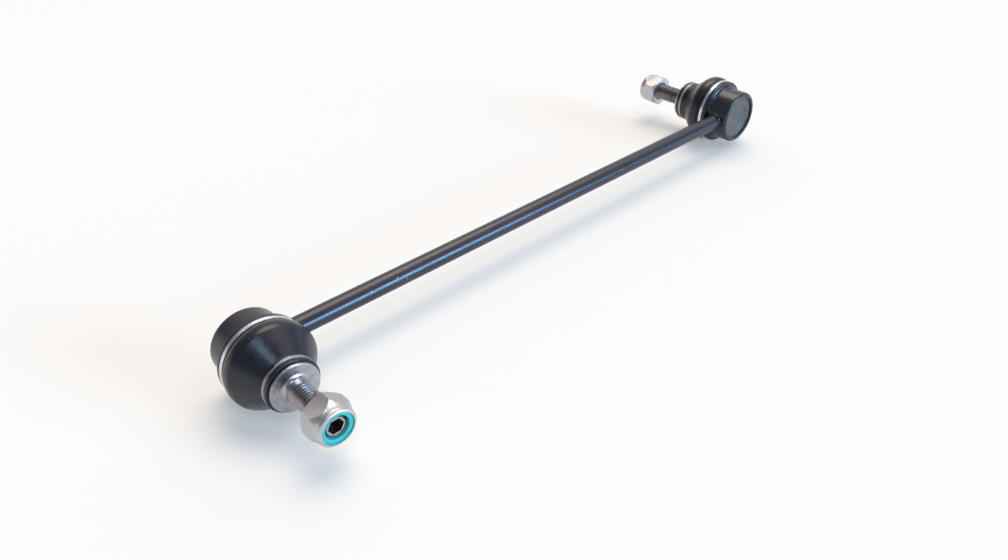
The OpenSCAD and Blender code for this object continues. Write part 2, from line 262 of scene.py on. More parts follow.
def housing_section():
    """Section of the cup, from the rolled rim round the outside to the bore."""
    back, front, flange_r = stations("bar_end", "housing")
    plate_back, plate_front, plate_r = stations("bar_end", "closing_plate")
    opening_r = plate_r - RIM_LIP
    flange_front = FLANGE_BACK + FLANGE_T
    lip_angle = degrees(asin(SHELL_LIP / SHELL_R))
    return (
        arc((opening_r + EDGE, plate_back - EDGE), EDGE, 90, 180, steps=4)
        + arc((opening_r + EDGE, back + EDGE), EDGE, 180, 270, steps=4)
        + arc((CUP_R - RIM_ROUND, back + RIM_ROUND), RIM_ROUND, 270, 360)
        + arc((CUP_R + FLARE, FLANGE_BACK - FLARE), FLARE, 180, 90)
        + arc((flange_r - EDGE, FLANGE_BACK + EDGE), EDGE, 270, 360, steps=5)
        + arc((flange_r - EDGE, flange_front - EDGE), EDGE, 0, 90, steps=5)
        + [(SEAT_R, flange_front)]
        + arc((SEAT_R - EDGE, front - EDGE), EDGE, 0, 90, steps=4)
        + [(SHELL_R * cos(radians(lip_angle)) + MOUTH_FLARE, front)]
        + arc((0, ball_station), SHELL_R, lip_angle, 0)
        + [(SHELL_R, plate_front), (plate_r, plate_front), (plate_r, plate_back)]
    )


housings = pair(turned("housing", housing_section(), FINE_STEPS), "housing_shell")
for end, piece in housings.items():
    settle(piece, end)
    stand_for(piece, end, "housing", "link")

# %% [markdown]
# ## Closing plates
#
# A pressed disc closes the back of each housing. The press leaves a shallow dish in the middle and a faint
# step round it, which catch the light as rings. A spun section gives both at once.

# %% Press the closing plates
DISH_R, DISH_DEPTH, STEP_R, STEP_DEPTH, PRESS_ROUND = 8.0, 0.5, 11.6, 0.15, 0.3


def plate_section():
    """Half section of the disc, from the middle of its dished back."""
    back, front, radius = stations("bar_end", "closing_plate")
    soft = PRESS_ROUND
    return (
        [(0, back + DISH_DEPTH)]
        + arc((DISH_R - 2 * soft, back + DISH_DEPTH - soft), soft, 90, 45, steps=3)
        + arc((DISH_R + soft, back + STEP_DEPTH + soft), soft, 225, 270, steps=3)
        + arc((STEP_R - soft, back + STEP_DEPTH - soft), soft, 90, 60, steps=3)
        + [(STEP_R + soft, back), (radius, back), (radius, front), (0, front)]
    )


plates = pair(turned("plate", plate_section()), "pressed_plate")
for end, piece in plates.items():
    settle(piece, end, smooth=50)
    stand_for(piece, end, "closing_plate", "link")

# %% [markdown]
# ## Weld flash
#
# Where the rod was pressed hot against the housing, metal squeezed out into an uneven bead. A ring is
# spun, laid round the rod, and pushed about by a cloud texture. Sculpting would do as well, but a texture
# gives the same lumps at each run. The bead is drawn out a little above and below, where the flash was not
# trimmed.

# %% Make the weld flash
ROD_R = 4.5
WELD_RISE, WELD_END, WELD_ROOT, WELD_SINK, WELD_STRETCH = 0.55, 17.4, 13.2, 0.4, 1.06
WELD_STEPS, WELD_CUTS = 72, 2
LUMP_SIZE, LUMP_HEIGHT, LUMP_MIDDLE = 1.1, 0.5, 0.6


def weld_bead():
    """A plain bead round the rod."""
    inner_r, outer_r = ROD_R - WELD_SINK, ROD_R + WELD_RISE
    outline = (
        [(inner_r, WELD_ROOT), (outer_r, WELD_ROOT), (outer_r, CUP_R)]
        + arc((ROD_R, WELD_END - WELD_RISE), WELD_RISE, 0, 90, steps=8)
        + [(inner_r, WELD_END - WELD_SINK)]
    )
    piece = turned("weld", outline, WELD_STEPS)
    pick(piece)
    bpy.ops.object.mode_set(mode="EDIT")
    bpy.ops.mesh.select_all(action="SELECT")
    bpy.ops.mesh.subdivide(number_cuts=WELD_CUTS)
    bpy.ops.transform.rotate(value=-pi / 2, orient_axis="Y", center_override=(0, 0, 0))
    bpy.ops.transform.resize(value=(1, WELD_STRETCH, 1), center_override=(0, 0, 0))
    bpy.ops.object.mode_set(mode="OBJECT")
    return piece


def roughen(piece):
    """Pushes the skin in and out by soft clouds."""
    clouds = bpy.data.textures.new("weld_lumps", "CLOUDS")
    clouds.noise_scale = LUMP_SIZE
    modify(piece, "DISPLACE", texture=clouds, strength=LUMP_HEIGHT, mid_level=LUMP_MIDDLE)
    return piece


welds = pair(roughen(weld_bead()), "weld_flash")
for end, piece in welds.items():
    settle(piece, end)
    stand_for(piece, end, "weld", "link")

# %% [markdown]
# ## Wire rings
#
# Both rings are wound from flat wire, two turns round the cuff and three round the neck. Each turn lies
# flat and then steps over to the next one beside it, where the wire's ends also are. A Screw modifier would
# wind a helix, which slopes all the way round. So the wire's section is spun for most of a turn, and the
# step is made of small spins that each shift the wire sideways.

# %% Wind the rings
STEP_ANGLE, STEP_PARTS, END_GAP, WIRE_ROUND = 26, 8, 5, 0.16
WIRE_STEPS = 88


def wire_section(inner, outer, width):
    """A flat wire's rounded section."""
    points = []
    for radius, station, angle in ((outer, 0, 270), (outer, width, 0), (inner, width, 90), (inner, 0, 180)):
        across = -WIRE_ROUND if radius == outer else WIRE_ROUND
        along = WIRE_ROUND if station == 0 else -WIRE_ROUND
        points += arc((radius + across, station + along), WIRE_ROUND, angle, angle + 90, steps=3)
    return points


def wind(name, inner, outer, length, turns):
    """Turns of wire side by side, from one cut end to the other."""
    width = length / turns
    piece = draw(name, wire_section(inner, outer, width))
    about = {"center": (0, 0, 0), "axis": (0, 0, 1)}
    for turn in range(turns):
        last = turn == turns - 1
        sweep = 360 - END_GAP if last else 360 - STEP_ANGLE
        bpy.ops.mesh.spin(steps=WIRE_STEPS, angle=radians(sweep), **about)
        for part in range(0 if last else STEP_PARTS):
            bpy.ops.mesh.spin(steps=1, angle=radians(STEP_ANGLE / STEP_PARTS), **about)
            shares = [(1 - cos(pi * share / STEP_PARTS)) / 2 for share in (part, part + 1)]
            bpy.ops.transform.translate(value=(0, 0, width * (shares[1] - shares[0])))
    bpy.ops.mesh.edge_face_add()
    bpy.ops.mesh.select_all(action="DESELECT")
    bpy.ops.mesh.select_non_manifold()
    bpy.ops.mesh.edge_face_add()
    close_skin(merge=None)
    return piece


# %% Wind one ring of each kind and copy it
BOOT_WIRE_T, BOOT_WIRE_TURNS, BOOT_WIRE_ENDS = 0.9, 2, 205
NECK_WIRE_T, NECK_WIRE_TURNS, NECK_WIRE_ENDS = 0.95, 3, 112


def ring_pair(node, thick, turns, ends_at):
    """One ring for each end, with the wire's ends at an angle about the stud."""
    start, stop, outer = stations("bar_end", node)
    both = pair(wind(node, outer - thick, outer, stop - start, turns), f"{node}_wire")
    for end, piece in both.items():
        settle(piece, end, stations(end, node)[0], ends_at)
    return both


boot_rings = ring_pair("boot_ring", BOOT_WIRE_T, BOOT_WIRE_TURNS, BOOT_WIRE_ENDS)
neck_rings = ring_pair("neck_ring", NECK_WIRE_T, NECK_WIRE_TURNS, NECK_WIRE_ENDS)
for end in SIDES:
    stand_for(boot_rings[end], end, "boot_ring", "link")
    stand_for(neck_rings[end], end, "neck_ring")

# %% [markdown]
# ## Rubber boots
#
# A boot is moulded as one piece: a cuff under the large ring, a bead, a dome, a neck under the small ring
# and a lip that wipes the stud. It has to bend as the stud swings. A piece can bend across one joint, and
# the ball has two crossed hinges, so the boot is made of two spun halves that meet on the straight flank
# of the dome. On a straight flank both halves have the same slope, so the meeting line can't be seen. The
# stations from the cuff to where the stud's collar starts are worked out with the outlines, but the halves
# are set in place at rest and ride no joint.

# %% Find the dome's outline
CREST_ROUND, CREST_LEAD, CREST_LEN, DOME_GAP = 4.8, 2.35, 1.1, 0.1
DOME_START = -degrees(asin((CREST_LEAD - DOME_GAP) / CREST_ROUND))
NECK_R, NECK_ROUND, BOOT_WALL = 11.9, 0.6, 1.8
NECK_LEN = {"bar_end": 0.2, "strut_end": 3.0}


def divide(start, stop, parts):
    """Points from start to stop, both included."""
    return [tuple(a + (b - a) * part / parts for a, b in zip(start, stop)) for part in range(parts + 1)]


def dome(crest_r, crest_start, neck_start, inset):
    """The crest's arc and the hollow's arc, moved inwards by inset: a straight flank joins them."""
    crest_r0 = crest_r - CREST_ROUND
    crest_end = crest_start + CREST_LEN
    hollow_r0 = NECK_R + NECK_ROUND
    across, along = hollow_r0 - crest_r0, neck_start - crest_end
    slope = degrees(atan2(along, across) - acos((CREST_ROUND + NECK_ROUND) / hypot(across, along)))
    crest = (
        arc((crest_r0, crest_start), CREST_ROUND - inset, DOME_START, 0, steps=10)
        + arc((crest_r0, crest_end), CREST_ROUND - inset, 0, slope, steps=12)
    )
    hollow = arc((hollow_r0, neck_start), NECK_ROUND + inset, 180 + slope, 180, steps=8)
    return crest, hollow


print("dome starts at", round(DOME_START, 1), "degrees")

# %% Draw the boot's two halves
BEAD_R, BEAD_LEN, BEAD_GROOVE = 18.9, 1.4, 0.7
CUFF_R, FIT, BORE_R = 16.85, 0.05, 8.25
FLANK_PARTS, FLANK_MEET, NECK_PARTS, RUBBER_EDGE, COLLAR_DEPTH = 16, 5, 4, 0.4, 7.8


def bead(radius, start, stop):
    """A band of rubber with two rounded edges."""
    return (
        arc((radius - RUBBER_EDGE, start + RUBBER_EDGE), RUBBER_EDGE, -90, 0, steps=5)
        + arc((radius - RUBBER_EDGE, stop - RUBBER_EDGE), RUBBER_EDGE, 0, 90, steps=5)
    )


def boot_sections(end):
    """Outlines of the lower and upper half, and the stations of the cuff, the meeting line and the held neck."""
    cuff_start, lip_end, crest_r = stations(end, "boot")
    ring_end, ring_r = stations(end, "boot_ring")[1:]
    neck_ring_start, neck_ring_end, neck_ring_r = stations(end, "neck_ring")
    bead_start = ring_end + FIT
    bead_end = bead_start + BEAD_LEN
    neck_end = neck_ring_start - FIT
    neck_start = neck_end - NECK_LEN[end]
    crest, hollow = dome(crest_r, bead_end + CREST_LEAD, neck_start, 0)
    inner_crest, inner_hollow = dome(crest_r, bead_end + CREST_LEAD, neck_start, BOOT_WALL)
    flank = divide(crest[-1], hollow[0], FLANK_PARTS)
    inner_flank = divide(inner_crest[-1], inner_hollow[0], FLANK_PARTS)
    groove_r = ring_r - BOOT_WIRE_T - FIT
    neck_groove_r = neck_ring_r - NECK_WIRE_T - FIT
    lip_start = neck_ring_end + FIT
    lower = (
        [(CUFF_R, cuff_start), (groove_r, cuff_start), (groove_r, bead_start)]
        + bead(BEAD_R, bead_start, bead_end)
        + [(BEAD_R - BEAD_GROOVE, bead_end)]
        + crest + flank[1:FLANK_MEET + 1]
        + inner_flank[FLANK_MEET:0:-1] + inner_crest[::-1]
        + [(CUFF_R, stations(end, "housing")[1])]
    )
    upper = (
        flank[FLANK_MEET:-1] + hollow
        + divide(hollow[-1], (NECK_R, neck_end), NECK_PARTS)[1:]
        + [(neck_groove_r, neck_end), (neck_groove_r, lip_start)]
        + bead(neck_ring_r, lip_start, lip_end)
        + [(BORE_R, lip_end), (BORE_R, neck_start)]
        + inner_hollow[::-1] + inner_flank[-2:FLANK_MEET - 1:-1]
    )
    held = min(neck_start, stud_face(end) - COLLAR_DEPTH)
    return lower, upper, {"cuff": bead_end, "meet": flank[FLANK_MEET][1], "held": held}


def make_boot(end):
    """Two spun halves, set in place at rest."""
    lower, upper, at = boot_sections(end)
    halves = []
    for part, outline, before, after, start, stop in (
        ("dome", lower, "link", f"{end}_boot", "cuff", "meet"),
        ("neck", upper, f"{end}_boot", f"{end}_neck_ring", "meet", "held"),
    ):
        piece = turned(f"{end}_boot_{part}", outline, FINE_STEPS)
        settle(piece, end, smooth=50)
        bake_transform(piece)
        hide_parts(f"{end}_boot")
        halves.append(piece)
    return halves


boots = [half for end in SIDES for half in make_boot(end)]

# %% [markdown]
# ## Threads
#
# The M10 thread was rolled onto the stud. Its section is one tooth, which a Screw modifier winds up by the
# pitch. A bump in the material would be cheaper, but the stud's outline would stay straight. Bisect cuts
# the thread to length with a flat face at both ends, so that it is a closed body which a Boolean can join.

# %% Roll a length of thread
THREAD_R, PITCH, ROOT_R = 5.0, 1.5, 4.12
TOOTH = [(0, 0), (0.02, 0.12), (0.1, 0.2), (0.8, 0.62), (0.87, 0.69), (0.88, 0.75)]
THREAD_STEPS, THREAD_SPARE, THREAD_MERGE = 64, 4, 0.0005


def trim(station, keep_above):
    """Cuts the open piece flat at a station and closes the cut."""
    bpy.ops.mesh.select_all(action="SELECT")
    bpy.ops.mesh.bisect(plane_co=(0, 0, station), plane_no=(0, 0, 1), use_fill=True,
                        clear_inner=keep_above, clear_outer=not keep_above)


def make_thread(start, stop):
    """A closed length of thread between two flat faces."""
    tooth = TOOTH + [(rise, PITCH - along) for rise, along in TOOTH[-2::-1]]
    outline = [(ROOT_R + rise, start - PITCH + along) for rise, along in tooth]
    piece = draw("thread", outline, closed=False)
    turns = int((stop - start) / PITCH) + THREAD_SPARE
    modify(piece, "SCREW", screw_offset=PITCH, iterations=turns, steps=THREAD_STEPS,
           render_steps=THREAD_STEPS, use_merge_vertices=True)
    bpy.ops.object.mode_set(mode="EDIT")
    bpy.ops.mesh.select_all(action="SELECT")
    bpy.ops.mesh.remove_doubles(threshold=THREAD_MERGE)
    trim(start, True)
    trim(stop, False)
    close_skin(THREAD_MERGE)
    return piece


# %% [markdown]
# ## Ball studs
#
# The stud is one forging: ball, neck, cone, collar, and a flange that the bracket is pulled against. It is
# spun from its section and joined to the thread. A turned blank trims the thread to the chamfer at its tip,
# and a hexagon cuts the socket for the key that holds the stud while the nut is tightened. The finish needs
# to know where the thread's grooves are, so each point's depth in the thread is kept as an attribute.

# %% Forge the studs
END_CHAMFER, SOCKET_AF, SOCKET_DEPTH = 1.1, 6.0, 5.0
BALL_R, STUD_NECK_R, COLLAR_R, COLLAR_LEN, CONE_LEN = 9.0, 4.8, 8.2, 7.0, 4.5
STUD_FLANGE_R, STUD_FLANGE_T, STUD_FLANGE_EDGE, ROOT_FILLET = 10.8, 1.6, 0.5, 2.4
SHANK_R, CORE_R, CORE_LEN, FIRST_TURN, POLE_GAP = 4.7, 3.6, 3.0, 1.0, 3
HALF_FLAT = radians(30)


def corner_radius(across_flats):
    """Radius of a hexagon's corners."""
    return across_flats / 2 / cos(HALF_FLAT)


def hexagon(name, across_flats, start, stop):
    """A six-sided bar with a corner on +X."""
    deselect()
    bpy.ops.mesh.primitive_cylinder_add(
        vertices=6, radius=corner_radius(across_flats), depth=stop - start,
        location=(0, 0, (start + stop) / 2), rotation=(0, 0, HALF_FLAT))
    piece = bpy.context.active_object
    piece.name = name
    bpy.ops.object.transform_apply(location=True, rotation=True, scale=True)
    return piece


def forging(face):
    """Section of the forged part, from the ball to the root of the thread."""
    underside = face - STUD_FLANGE_T
    collar_start = underside - COLLAR_LEN
    neck_angle = degrees(acos(STUD_NECK_R / BALL_R))
    edge_r = STUD_FLANGE_R - STUD_FLANGE_EDGE
    root = face + ROOT_FILLET
    return (
        [(0, ball_station - BALL_R)]
        + arc((0, ball_station), BALL_R, POLE_GAP - 90, neck_angle, steps=32)
        + [(STUD_NECK_R, collar_start - CONE_LEN), (COLLAR_R, collar_start), (COLLAR_R, underside)]
        + arc((edge_r, underside + STUD_FLANGE_EDGE), STUD_FLANGE_EDGE, 270, 360, steps=5)
        + arc((edge_r, face - STUD_FLANGE_EDGE), STUD_FLANGE_EDGE, 0, 90, steps=5)
        + arc((SHANK_R + ROOT_FILLET, root), ROOT_FILLET, 270, 180, steps=10)
        + [(CORE_R, root + CORE_LEN), (0, root + CORE_LEN)]
    )


def mark_grooves(piece, start, stop):
    """Keeps each point's depth in the thread, 0 on crest and 1 at root, as an attribute for painted shade."""
    depth = piece.data.attributes.new("groove", "FLOAT", "POINT")
    for point, item in zip(piece.data.vertices, depth.data):
        in_thread = start < point.co.z < stop
        share = (THREAD_R - hypot(point.co.x, point.co.y)) / (THREAD_R - ROOT_R)
        item.value = min(1, max(0, share)) if in_thread else 0


def make_stud(end):
    """A forging with its thread, its chamfered tip and its socket."""
    face, tip = stud_face(end), stations(end, "ball_stud")[1]
    piece = turned(f"{end}_threaded_stud", forging(face))
    thread = make_thread(face + FIRST_TURN, tip)
    wide, chamfer_start = THREAD_R + SPARE, tip - END_CHAMFER - SPARE
    blank = turned("thread_blank", [
        (0, face), (wide, face), (wide, chamfer_start), (THREAD_R - END_CHAMFER, tip), (0, tip)])
    combine(thread, blank, "INTERSECT")
    combine(piece, thread, "UNION")
    combine(piece, hexagon("socket", SOCKET_AF, tip - SOCKET_DEPTH, tip + SPARE), "DIFFERENCE")
    mark_grooves(piece, face + ROOT_FILLET / 2, tip - END_CHAMFER)
    settle(piece, end)
    stand_for(piece, end, "ball_stud")
    return piece


studs = [make_stud(end) for end in SIDES]

# %% [markdown]
# ## Lock nuts
#
# The nut is cut from hexagon bar and turned: a chamfered washer face below, a shoulder above, and a collar
# that is rolled in over a nylon ring. A spun blank and a hexagon bar are intersected, which gives each flat
# its curved edge. Clamping keeps the bevel clear of the shortest edges that the cut leaves, so it is far
# finer than the width asked for and shows only in the shading near the corners.

# %% Cut the nuts
NUT_AF, WASHER_INSET, COLLAR_INSET, NUT_TOP_H = 17.0, 0.6, 0.2, 5.8
NUT_CHAMFER, NUT_SHOULDER, NUT_ROLL_T, BORE_CHAMFER = 30, 63, 0.6, 0.7
NUT_BORE_R, NUT_GROOVE_R, NUT_OPENING_R, CORNER_BREAK = 5.05, 7.24, 6.9, 0.14
NUT_STEPS, BREAK_SEGMENTS, BREAK_ANGLE = 144, 3, 24
NUT_TURN = {"bar_end": 23, "strut_end": 31}


def nut_section(height, groove_base):
    """Section of the turned blank, from its washer face up."""
    corner_r = corner_radius(NUT_AF)
    collar_r = NUT_AF / 2 - COLLAR_INSET
    washer_r = NUT_AF / 2 - WASHER_INSET
    blank_r = corner_r + SPARE
    roll = collar_r - NUT_OPENING_R
    hex_top = height - NUT_TOP_H
    shoulder = tan(radians(NUT_SHOULDER))
    return (
        [(NUT_BORE_R, BORE_CHAMFER), (NUT_BORE_R + BORE_CHAMFER, 0), (washer_r, 0)]
        + [(blank_r, (blank_r - washer_r) * tan(radians(NUT_CHAMFER)))]
        + [(blank_r, hex_top - SPARE * shoulder), (collar_r, hex_top + (corner_r - collar_r) * shoulder)]
        + arc((NUT_OPENING_R, height - roll), roll, 0, 90, steps=12)
        + [(NUT_OPENING_R, height - NUT_ROLL_T), (NUT_GROOVE_R, height - NUT_ROLL_T)]
        + [(NUT_GROOVE_R, groove_base), (NUT_BORE_R, groove_base)]
    )


def make_nut():
    """A hexagon nut, standing on its washer face."""
    base, top = stations("bar_end", "lock_nut")[:2]
    insert_base = stations("bar_end", "nut_insert")[0]
    piece = turned("nut", nut_section(top - base, insert_base - FIT - base), NUT_STEPS)
    combine(piece, hexagon("nut_bar", NUT_AF, -SPARE, top - base + SPARE), "INTERSECT")
    modify(piece, "BEVEL", width=CORNER_BREAK, segments=BREAK_SEGMENTS, angle_limit=radians(BREAK_ANGLE))
    return piece


def flatten_shading(piece):
    """Weights the normals by the faces' areas and angles, so the large flats lead the shading."""
    modify(piece, "WEIGHTED_NORMAL", mode="FACE_AREA_WITH_ANGLE", keep_sharp=True)


nuts = pair(make_nut(), "hexagon_nut")
for end, piece in nuts.items():
    settle(piece, end, stations(end, "lock_nut")[0], NUT_TURN[end])
    flatten_shading(piece)
    stand_for(piece, end, "lock_nut")

# %% [markdown]
# ## Nylon inserts
#
# The ring in the nut's collar is plain, apart from its bore: the stud's first turns rounded its upper edge.

# %% Mould the inserts
INSERT_ROUND, INSERT_EDGE = 0.5, 0.1


def insert_section():
    """Section of the ring, from the lower edge of its bore."""
    base, top, radius = stations("bar_end", "nut_insert")
    height = top - base
    return (
        [(NUT_BORE_R, 0), (radius, 0)]
        + arc((radius - INSERT_EDGE, height - INSERT_EDGE), INSERT_EDGE, 0, 90, steps=2)
        + arc((NUT_BORE_R + INSERT_ROUND, height - INSERT_ROUND), INSERT_ROUND, 90, 180, steps=8)
    )


inserts = pair(turned("insert", insert_section()), "nylon_ring")
for end, piece in inserts.items():
    settle(piece, end, stations(end, "nut_insert")[0])
    stand_for(piece, end, "nut_insert")

# %% [markdown]
# ## Finishes
#
# Every finish starts from a Principled shader. What varies over a surface comes from shared node groups:
# soft mottling and small specks. A group is built once and placed in each finish with its own values. Its
# scale counts the clouds or cells in a metre.


# %% Shared effects
def effect(name, inputs, output):
    """An empty shader node group with named inputs and one output."""
    group = bpy.data.node_groups.new(name, "ShaderNodeTree")
    group.interface.new_socket("Vector", in_out="INPUT", socket_type="NodeSocketVector")
    for label in inputs:
        group.interface.new_socket(label, in_out="INPUT", socket_type="NodeSocketFloat")
    group.interface.new_socket(output, in_out="OUTPUT", socket_type="NodeSocketFloat")
    return group, group.nodes.new("NodeGroupInput"), group.nodes.new("NodeGroupOutput")


def mottle_effect():
    """Soft cloudy variation between two values."""
    group, given, result = effect("mottle", ("Scale", "Low", "High"), "Value")
    noise = group.nodes.new("ShaderNodeTexNoise")
    noise.inputs["Detail"].default_value = 4
    noise.inputs["Roughness"].default_value = 0.6
    spread = group.nodes.new("ShaderNodeMapRange")
    spread.inputs["From Min"].default_value = 0.3
    spread.inputs["From Max"].default_value = 0.7
    link = group.links.new
    link(given.outputs["Vector"], noise.inputs["Vector"])
    link(given.outputs["Scale"], noise.inputs["Scale"])
    link(noise.outputs["Fac"], spread.inputs["Value"])
    link(given.outputs["Low"], spread.inputs["To Min"])
    link(given.outputs["High"], spread.inputs["To Max"])
    link(spread.outputs["Result"], result.inputs["Value"])
    return group


def speck_effect():
    """Small round specks: 1 inside a speck, 0 elsewhere. Keep is the share of cells that hold one."""
    group, given, result = effect("specks", ("Scale", "Size", "Keep"), "Mask")
    cells = group.nodes.new("ShaderNodeTexVoronoi")
    spot = group.nodes.new("ShaderNodeMath")
    spot.operation = "LESS_THAN"
    apart = group.nodes.new("ShaderNodeSeparateColor")
    kept = group.nodes.new("ShaderNodeMath")
    kept.operation = "LESS_THAN"
    both = group.nodes.new("ShaderNodeMath")
    both.operation = "MULTIPLY"
    link = group.links.new
    link(given.outputs["Vector"], cells.inputs["Vector"])
    link(given.outputs["Scale"], cells.inputs["Scale"])
    link(cells.outputs["Distance"], spot.inputs[0])
    link(given.outputs["Size"], spot.inputs[1])
    link(cells.outputs["Color"], apart.inputs["Color"])
    link(apart.outputs["Red"], kept.inputs[0])
    link(given.outputs["Keep"], kept.inputs[1])
    link(spot.outputs["Value"], both.inputs[0])
    link(kept.outputs["Value"], both.inputs[1])
    link(both.outputs["Value"], result.inputs["Mask"])
    return group


MOTTLE, SPECKS = mottle_effect(), speck_effect()
print("effects:", MOTTLE.name, SPECKS.name)


# %% A finish under construction
BUMP_HEIGHT = 0.0001


def colour_mix(tree, share, first, second):
    """Mixes two colours, each a tuple or a socket, by a socket."""
    node = tree.nodes.new("ShaderNodeMix")
    node.data_type = "RGBA"
    tree.links.new(share, node.inputs["Factor"])
    for label, value in (("A", first), ("B", second)):
        socket = next(s for s in node.inputs if s.name == label and s.type == "RGBA")
        if isinstance(value, tuple):
            socket.default_value = (*value, 1)
        else:
            tree.links.new(value, socket)
    return next(s for s in node.outputs if s.type == "RGBA")


class Finish:
    """A material with short ways to add and join nodes."""

    def __init__(self, name):
        self.material = bpy.data.materials.new(name)
        self.material.use_nodes = True
        self.nodes = self.material.node_tree.nodes
        self.link = self.material.node_tree.links.new
        self.shader = self.nodes["Principled BSDF"]
        self.place = self.nodes.new("ShaderNodeTexCoord").outputs["Object"]

    def constant(self, label, value):
        """Sets a plain value on the shader itself."""
        self.shader.inputs[label].default_value = value

    def shared(self, group, **values):
        """Places a shared effect with its own values."""
        node = self.nodes.new("ShaderNodeGroup")
        node.node_tree = group
        self.link(self.place, node.inputs["Vector"])
        for label, value in values.items():
            node.inputs[label].default_value = value
        return node.outputs[0]

    def mottle(self, scale, low=0.0, high=1.0):
        """Soft clouds between two values."""
        return self.shared(MOTTLE, Scale=scale, Low=low, High=high)

    def specks(self, scale, size, keep):
        """A mask of small specks."""
        return self.shared(SPECKS, Scale=scale, Size=size, Keep=keep)

    def attribute(self, name):
        """A value that is kept on the piece's own points."""
        node = self.nodes.new("ShaderNodeAttribute")
        node.attribute_name = name
        return node.outputs["Fac"]

    def mix(self, share, first, second):
        """Mixes two colours by a socket."""
        return colour_mix(self.material.node_tree, share, first, second)

    def math(self, operation, first, second):
        """Works out one value from a socket and a socket or a number."""
        node = self.nodes.new("ShaderNodeMath")
        node.operation = operation
        self.link(first, node.inputs[0])
        if isinstance(second, float):
            node.inputs[1].default_value = second
        else:
            self.link(second, node.inputs[1])
        return node.outputs["Value"]

    def colour(self, socket):
        self.link(socket, self.shader.inputs["Base Color"])

    def rough(self, socket):
        self.link(socket, self.shader.inputs["Roughness"])

    def bump(self, height, strength):
        node = self.nodes.new("ShaderNodeBump")
        node.inputs["Strength"].default_value = strength
        node.inputs["Distance"].default_value = BUMP_HEIGHT
        self.link(height, node.inputs["Height"])
        self.link(node.outputs["Normal"], self.shader.inputs["Normal"])


# %% [markdown]
# ### Black coating, rubber and the closing plate
#
# The rod and the housings are dipped in a thin black coat with a clear gloss and a fine orange peel, and a
# few chips show the pale metal. The rubber is nearly as dark, but satin. The plate has a matt dark grey
# phosphate finish. A colour mottled between two near tones keeps a dark surface from looking like a hole.


# %% Dark finishes
COAT_DARK, COAT_PALE, BARE_METAL = (0.014, 0.016, 0.026), (0.022, 0.024, 0.036), (0.35, 0.33, 0.31)
RUBBER_DARK, RUBBER_PALE, DUST = (0.005, 0.007, 0.0135), (0.0085, 0.011, 0.02), (0.16, 0.15, 0.145)
PLATE_DARK, PLATE_PALE = (0.065, 0.062, 0.064), (0.11, 0.102, 0.102)


def black_coat():
    finish = Finish("black_coat")
    finish.rough(finish.mottle(160.0, low=0.23, high=0.31))
    base = finish.mix(finish.mottle(60.0), COAT_DARK, COAT_PALE)
    finish.colour(finish.mix(finish.specks(420.0, size=0.16, keep=0.03), base, BARE_METAL))
    finish.bump(finish.mottle(1400.0), strength=0.08)
    return finish.material


def moulded_rubber():
    finish = Finish("moulded_rubber")
    finish.rough(finish.mottle(220.0, low=0.25, high=0.33))
    base = finish.mix(finish.mottle(90.0), RUBBER_DARK, RUBBER_PALE)
    finish.colour(finish.mix(finish.specks(600.0, size=0.14, keep=0.02), base, DUST))
    finish.bump(finish.mottle(2200.0), strength=0.12)
    return finish.material


def phosphate():
    finish = Finish("phosphate")
    finish.rough(finish.mottle(300.0, low=0.38, high=0.55))
    finish.colour(finish.mix(finish.mottle(240.0), PLATE_DARK, PLATE_PALE))
    finish.bump(finish.mottle(1800.0), strength=0.2)
    return finish.material


COAT, RUBBER, PHOSPHATE = black_coat(), moulded_rubber(), phosphate()
print("dark finishes:", COAT.name, RUBBER.name, PHOSPHATE.name)

# %% [markdown]
# ### Zinc and wire
#
# Bright zinc is a metal with a slightly blue or white cast. Its gloss breaks up into soft clouds, with
# small dark specks where it was handled. The stud's finish darkens by the depth that was kept on its
# points, which paints shade into the grooves of the thread.


# %% Bright finishes
SPECK_SHADE = 0.3


def zinc(name, pale, dark, rough, specks=0.0, groove=None):
    """A metal between two tones and two roughnesses, with a share of specks and a painted shade for grooves."""
    finish = Finish(name)
    finish.constant("Metallic", 1.0)
    finish.rough(finish.mottle(350.0, *rough))
    base = finish.mix(finish.mottle(200.0), pale, dark)
    if specks:
        spot = tuple(value * SPECK_SHADE for value in dark)
        base = finish.mix(finish.specks(700.0, size=0.25, keep=specks), base, spot)
    # Painted shade: the thread's grooves are darkened by their depth.
    if groove:
        base = finish.mix(finish.attribute("groove"), base, groove)
    finish.colour(base)
    finish.bump(finish.mottle(1600.0), strength=0.02)
    return finish.material


# The stud's groove colour is painted shade in the thread's grooves.
STUD_ZINC = zinc("stud_zinc", (0.44, 0.455, 0.5), (0.32, 0.3, 0.31), (0.22, 0.32),
                 specks=0.05, groove=(0.15, 0.105, 0.09))
NUT_ZINC = zinc("nut_zinc", (0.56, 0.573, 0.58), (0.525, 0.533, 0.535), (0.36, 0.44), specks=0.01)
RING_WIRE = zinc("ring_wire", (0.8, 0.81, 0.83), (0.64, 0.66, 0.68), (0.18, 0.28))
NECK_WIRE = zinc("neck_wire", (0.42, 0.43, 0.44), (0.32, 0.33, 0.34), (0.36, 0.48))
print("bright finishes:", STUD_ZINC.name, NUT_ZINC.name, RING_WIRE.name, NECK_WIRE.name)

# %% [markdown]
# ### Plastics
#
# The insert is teal nylon, and the bearing shell inside the housing is white acetal. Both are a little
# uneven in tone, as moulded plastics are.


# %% Plastic finishes
def plastic(name, first, second, rough):
    """A moulded plastic between two near tones and two roughnesses."""
    finish = Finish(name)
    finish.colour(finish.mix(finish.mottle(400.0), first, second))
    finish.rough(finish.mottle(700.0, *rough))
    return finish.material


NYLON = plastic("teal_nylon", (0.03, 0.42, 0.38), (0.045, 0.47, 0.425), (0.32, 0.46))
ACETAL = plastic("white_acetal", (0.78, 0.75, 0.67), (0.84, 0.82, 0.75), (0.3, 0.44))
print("plastics:", NYLON.name, ACETAL.name)

# %% [markdown]
# ### Dressing the pieces
#
# The rod and the hidden bearing shells keep their CAD meshes, which are right as they are, and only get a
# finish in their material slots.


